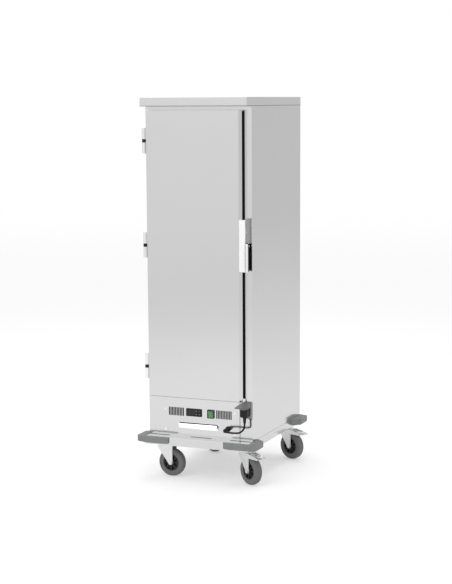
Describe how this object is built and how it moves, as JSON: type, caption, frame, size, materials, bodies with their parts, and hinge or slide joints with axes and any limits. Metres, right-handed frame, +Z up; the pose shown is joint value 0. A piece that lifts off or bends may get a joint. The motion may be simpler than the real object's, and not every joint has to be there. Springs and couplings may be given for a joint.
{
  "type": "heated banquet cart",
  "caption": "Tall insulated heated cabinet on swivel casters, with a hinged full-height door, lever latch, control panel, water drawer and plug-in cord.",
  "frame": {"origin": "centre of the bottom of the whole cart's box without its cord, on the floor", "axes": "+Z up, +Y from the door side to the rear, +X to the right of someone who faces the door"},
  "size_m": [0.604, 0.6765, 1.66],
  "materials": {
    "stainless": "brushed stainless sheet, fine vertical grain, bright",
    "inner_steel": "plain stainless sheet of the cavity",
    "zinc_steel": "bright zinc plated pressed steel",
    "polished_metal": "polished bright metal",
    "bumper_grey": "grey moulded bumper, fine texture",
    "grey_plastic": "mid grey moulded plastic",
    "black_plastic": "black moulded plastic",
    "dark_plastic": "glossy black moulded plastic",
    "white_plastic": "white moulded plastic",
    "green_plastic": "translucent green switch rocker",
    "display_lens": "dark display window",
    "key_plastic": "dark grey keys with light marks",
    "seal_rubber": "black soft seal",
    "tyre_rubber": "grey rubber tread",
    "hub_plastic": "dark moulded wheel centre",
    "fibre_fill": "mineral fibre insulation",
    "heater_sheath": "dark heater tube",
    "cord_jacket": "dark grey rubber jacket"
  },
  "bodies": {
    "cabinet": {"chassis": "stainless", "corner_bumpers": "bumper_grey", "caster_plates": "zinc_steel", "left_panel": "stainless", "right_panel": "stainless", "rear_panel": "stainless", "door_post": "stainless", "socket_panel": "stainless", "door_frame": "stainless", "top_cap": "stainless", "liner": "inner_steel", "insulation": "fibre_fill", "pan_racks": "inner_steel", "fan_frame": "black_plastic", "heater_element": "heater_sheath", "air_cover": "inner_steel", "control_panel": "stainless", "panel_screws": "polished_metal", "thermostat": "black_plastic", "thermostat_lens": "display_lens", "switch_frame": "dark_plastic", "drawer_runners": "inner_steel", "socket_housing": "grey_plastic", "cord_gland": "black_plastic", "cord": "cord_jacket", "plug": "black_plastic", "hinge_lower_leaves": "stainless", "hinge_bushings": "black_plastic", "post_seal": "seal_rubber", "latch_keeper": "grey_plastic"},
    "door": {"door_shell": "stainless", "door_insulation": "fibre_fill", "door_liner": "inner_steel", "door_gasket": "seal_rubber", "hinge_upper_leaves": "stainless", "latch_body": "white_plastic"},
    "latch_lever": {"latch_lever": "polished_metal", "lever_grip": "black_plastic"},
    "water_drawer": {"water_drawer": "stainless"},
    "rocker": {"rocker": "green_plastic"},
    "socket_flap": {"socket_flap": "grey_plastic"},
    "fan_impeller": {"fan_impeller": "black_plastic"},
    "key_upper_left": {"key_upper_left": "key_plastic"},
    "key_upper_right": {"key_upper_right": "key_plastic"},
    "key_lower_left": {"key_lower_left": "key_plastic"},
    "key_lower_right": {"key_lower_right": "key_plastic"},
    "fork_front_left": {"fork_front_left": "zinc_steel"},
    "wheel_front_left": {"tyre_front_left": "tyre_rubber", "hub_front_left": "hub_plastic"},
    "fork_front_right": {"fork_front_right": "zinc_steel"},
    "wheel_front_right": {"tyre_front_right": "tyre_rubber", "hub_front_right": "hub_plastic"},
    "brake_pedal_front_right": {"brake_pedal_front_right": "zinc_steel"},
    "fork_rear_left": {"fork_rear_left": "zinc_steel"},
    "wheel_rear_left": {"tyre_rear_left": "tyre_rubber", "hub_rear_left": "hub_plastic"},
    "fork_rear_right": {"fork_rear_right": "zinc_steel"},
    "wheel_rear_right": {"tyre_rear_right": "tyre_rubber", "hub_rear_right": "hub_plastic"},
    "brake_pedal_rear_right": {"brake_pedal_rear_right": "zinc_steel"}
  },
  "joints": [
    {"name": "door_swing", "type": "hinge", "parent": "cabinet", "child": "door", "pos_m": [-0.27404, -0.275, 0.985], "axis": [0, 0, -1], "range_deg": [0, 258]},
    {"name": "latch_pull", "type": "hinge", "parent": "door", "child": "latch_lever", "pos_m": [0.21221, -0.29, 1.039], "axis": [-1, 0, 0], "range_deg": [0, 40]},
    {"name": "drawer_slide", "type": "slide", "parent": "cabinet", "child": "water_drawer", "axis": [0, -1, 0], "range_m": [0, 0.25]},
    {"name": "rocker_tilt", "type": "hinge", "parent": "cabinet", "child": "rocker", "pos_m": [0.03045, -0.277, 0.2993], "axis": [1, 0, 0], "range_deg": [-14, 0]},
    {"name": "flap_lift", "type": "hinge", "parent": "cabinet", "child": "socket_flap", "pos_m": [0.20195, -0.2805, 0.361], "axis": [-1, 0, 0], "range_deg": [0, 85]},
    {"name": "fan_spin", "type": "hinge", "parent": "cabinet", "child": "fan_impeller", "pos_m": [-0.02005, 0.055, 0.32], "axis": [0, 0, 1], "continuous": true},
    {"name": "key_upper_left_press", "type": "slide", "parent": "cabinet", "child": "key_upper_left", "axis": [0, 1, 0], "range_m": [0, 0.001], "stiffness_N_per_m": 800},
    {"name": "key_upper_right_press", "type": "slide", "parent": "cabinet", "child": "key_upper_right", "axis": [0, 1, 0], "range_m": [0, 0.001], "stiffness_N_per_m": 800},
    {"name": "key_lower_left_press", "type": "slide", "parent": "cabinet", "child": "key_lower_left", "axis": [0, 1, 0], "range_m": [0, 0.001], "stiffness_N_per_m": 800},
    {"name": "key_lower_right_press", "type": "slide", "parent": "cabinet", "child": "key_lower_right", "axis": [0, 1, 0], "range_m": [0, 0.001], "stiffness_N_per_m": 800},
    {"name": "swivel_front_left", "type": "hinge", "parent": "cabinet", "child": "fork_front_left", "pos_m": [-0.21504, -0.243, 0.145], "axis": [0, 0, 1], "continuous": true},
    {"name": "roll_front_left", "type": "hinge", "parent": "fork_front_left", "child": "wheel_front_left", "pos_m": [-0.16911, -0.24541, 0.0625], "axis": [0.0523, 0.9986, 0], "continuous": true},
    {"name": "swivel_front_right", "type": "hinge", "parent": "cabinet", "child": "fork_front_right", "pos_m": [0.17495, -0.243, 0.145], "axis": [0, 0, 1], "continuous": true},
    {"name": "roll_front_right", "type": "hinge", "parent": "fork_front_right", "child": "wheel_front_right", "pos_m": [0.21438, -0.26669, 0.0625], "axis": [0.515, 0.8572, 0], "continuous": true},
    {"name": "brake_front_right", "type": "hinge", "parent": "fork_front_right", "child": "brake_pedal_front_right", "pos_m": [0.24181, -0.28317, 0.133], "axis": [0.515, 0.8572, 0], "range_deg": [0, 12]},
    {"name": "swivel_rear_left", "type": "hinge", "parent": "cabinet", "child": "fork_rear_left", "pos_m": [-0.21504, 0.257, 0.145], "axis": [0, 0, 1], "continuous": true},
    {"name": "roll_rear_left", "type": "hinge", "parent": "fork_rear_left", "child": "wheel_rear_left", "pos_m": [-0.17302, 0.23829, 0.0625], "axis": [0.4067, 0.9135, 0], "continuous": true},
    {"name": "swivel_rear_right", "type": "hinge", "parent": "cabinet", "child": "fork_rear_right", "pos_m": [0.17495, 0.257, 0.145], "axis": [0, 0, 1], "continuous": true},
    {"name": "roll_rear_right", "type": "hinge", "parent": "fork_rear_right", "child": "wheel_rear_right", "pos_m": [0.2176, 0.23977, 0.0625], "axis": [0.3746, 0.9272, 0], "continuous": true},
    {"name": "brake_rear_right", "type": "hinge", "parent": "fork_rear_right", "child": "brake_pedal_rear_right", "pos_m": [0.24727, 0.22778, 0.133], "axis": [0.3746, 0.9272, 0], "range_deg": [0, 12]}
  ]
}
